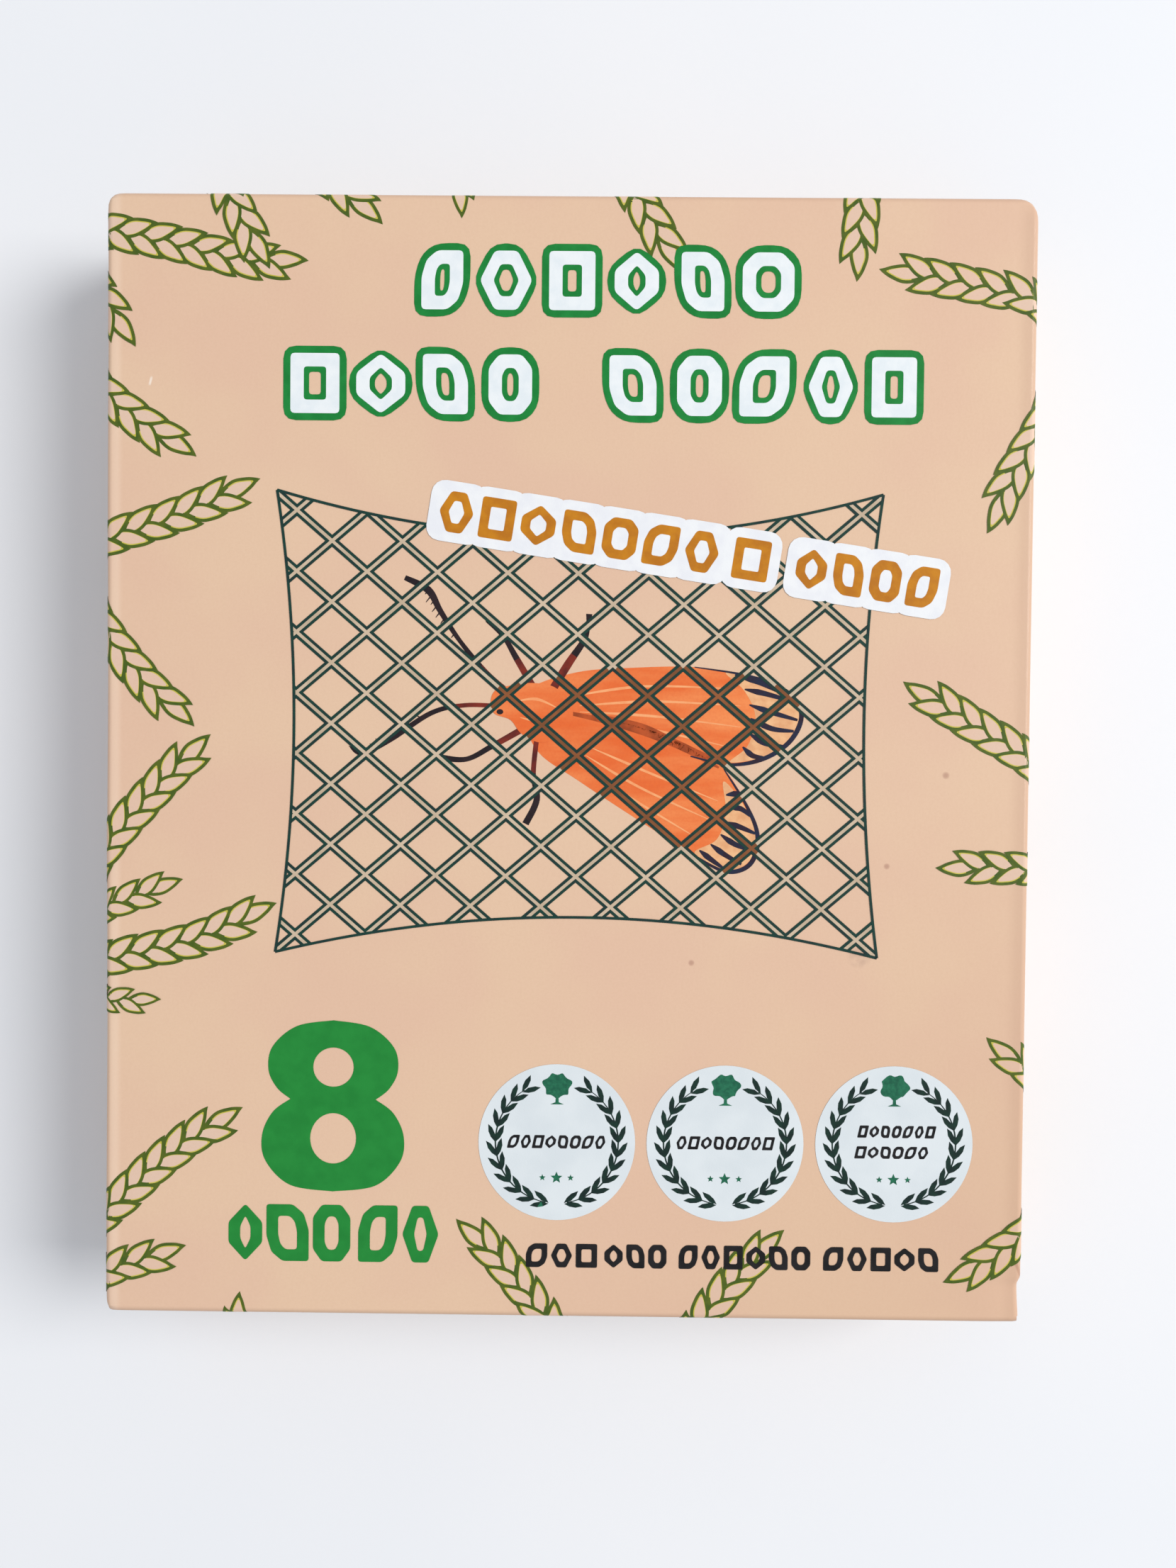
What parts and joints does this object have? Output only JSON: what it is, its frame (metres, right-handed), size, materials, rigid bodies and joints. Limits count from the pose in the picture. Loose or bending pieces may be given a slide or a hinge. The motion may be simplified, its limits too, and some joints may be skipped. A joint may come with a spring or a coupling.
{
  "type": "moth trap carton",
  "caption": "Closed tuck-end paperboard carton lying on its back, holding a stack of flat-folded glue traps with release liners and pheromone lures, and a leaflet.",
  "frame": {"origin": "centre of the outer face of the back panel, which is the carton's footprint as it lies", "axes": "+X to the right across the front panel, +Y to the carton's top end, +Z out of the front panel"},
  "size_m": [0.15, 0.182, 0.0249],
  "materials": {
    "printed_board": "matt aqueous-coated print, grey-white uncoated inside",
    "trap_card": "printed card",
    "glue_layer": "tacky pressure-sensitive glue",
    "release_liner": "silicone-coated paper",
    "lure": "pheromone-loaded rubber disc",
    "leaflet_paper": "uncoated"
  },
  "bodies": {
    "carton": {"carton_sleeve": "printed_board", "glue_seam_flap": "printed_board"},
    "top_lid": {"top_lid": "printed_board"},
    "top_tuck": {"top_tuck": "printed_board"},
    "top_dust_right": {"top_dust_right": "printed_board"},
    "top_dust_left": {"top_dust_left": "printed_board"},
    "bottom_lid": {"bottom_lid": "printed_board"},
    "bottom_tuck": {"bottom_tuck": "printed_board"},
    "bottom_dust_right": {"bottom_dust_right": "printed_board"},
    "bottom_dust_left": {"bottom_dust_left": "printed_board"},
    "trap_stack": {"trap_1_card": "trap_card", "trap_1_glue": "glue_layer", "trap_1_liner": "release_liner", "trap_1_lure": "lure", "trap_2_card": "trap_card", "trap_2_glue": "glue_layer", "trap_2_liner": "release_liner", "trap_2_lure": "lure", "trap_3_card": "trap_card", "trap_3_glue": "glue_layer", "trap_3_liner": "release_liner", "trap_3_lure": "lure", "trap_4_card": "trap_card", "trap_4_glue": "glue_layer", "trap_4_liner": "release_liner", "trap_4_lure": "lure", "trap_5_card": "trap_card", "trap_5_glue": "glue_layer", "trap_5_liner": "release_liner", "trap_5_lure": "lure", "trap_6_card": "trap_card", "trap_6_glue": "glue_layer", "trap_6_liner": "release_liner", "trap_6_lure": "lure", "trap_7_card": "trap_card", "trap_7_glue": "glue_layer", "trap_7_liner": "release_liner", "trap_7_lure": "lure", "trap_8_card": "trap_card", "trap_8_glue": "glue_layer", "trap_8_liner": "release_liner", "trap_8_lure": "lure", "instruction_leaflet": "leaflet_paper"}
  },
  "joints": [
    {"name": "top_lid_hinge", "type": "hinge", "parent": "carton", "child": "top_lid", "pos_m": [0, 0.0901, 0.024], "axis": [1, 0, 0], "range_deg": [0, 180]},
    {"name": "top_tuck_hinge", "type": "hinge", "parent": "top_lid", "child": "top_tuck", "pos_m": [0, 0.09035, 0.00145], "axis": [1, 0, 0], "range_deg": [0, 45]},
    {"name": "top_dust_right_hinge", "type": "hinge", "parent": "carton", "child": "top_dust_right", "pos_m": [0.0741, 0.0893, 0.01245], "axis": [0, 0, -1], "range_deg": [0, 90]},
    {"name": "top_dust_left_hinge", "type": "hinge", "parent": "carton", "child": "top_dust_left", "pos_m": [-0.0741, 0.0893, 0.01245], "axis": [0, 0, 1], "range_deg": [0, 90]},
    {"name": "bottom_lid_hinge", "type": "hinge", "parent": "carton", "child": "bottom_lid", "pos_m": [0, -0.0901, 0.024], "axis": [-1, 0, 0], "range_deg": [0, 180]},
    {"name": "bottom_tuck_hinge", "type": "hinge", "parent": "bottom_lid", "child": "bottom_tuck", "pos_m": [0, -0.09035, 0.00145], "axis": [-1, 0, 0], "range_deg": [0, 45]},
    {"name": "bottom_dust_right_hinge", "type": "hinge", "parent": "carton", "child": "bottom_dust_right", "pos_m": [0.0741, -0.0893, 0.01245], "axis": [0, 0, 1], "range_deg": [0, 90]},
    {"name": "bottom_dust_left_hinge", "type": "hinge", "parent": "carton", "child": "bottom_dust_left", "pos_m": [-0.0741, -0.0893, 0.01245], "axis": [0, 0, -1], "range_deg": [0, 90]},
    {"name": "stack_play", "type": "slide", "parent": "carton", "child": "trap_stack", "axis": [0, 1, 0], "range_m": [-0.003, 0.003]}
  ],
  "couplings": [
    {"joint": "top_tuck_hinge", "follows": "top_lid_hinge", "ratio": 0.25},
    {"joint": "top_dust_right_hinge", "follows": "top_lid_hinge", "ratio": 0.5},
    {"joint": "top_dust_left_hinge", "follows": "top_lid_hinge", "ratio": 0.5},
    {"joint": "bottom_tuck_hinge", "follows": "bottom_lid_hinge", "ratio": 0.25},
    {"joint": "bottom_dust_right_hinge", "follows": "bottom_lid_hinge", "ratio": 0.5},
    {"joint": "bottom_dust_left_hinge", "follows": "bottom_lid_hinge", "ratio": 0.5}
  ]
}
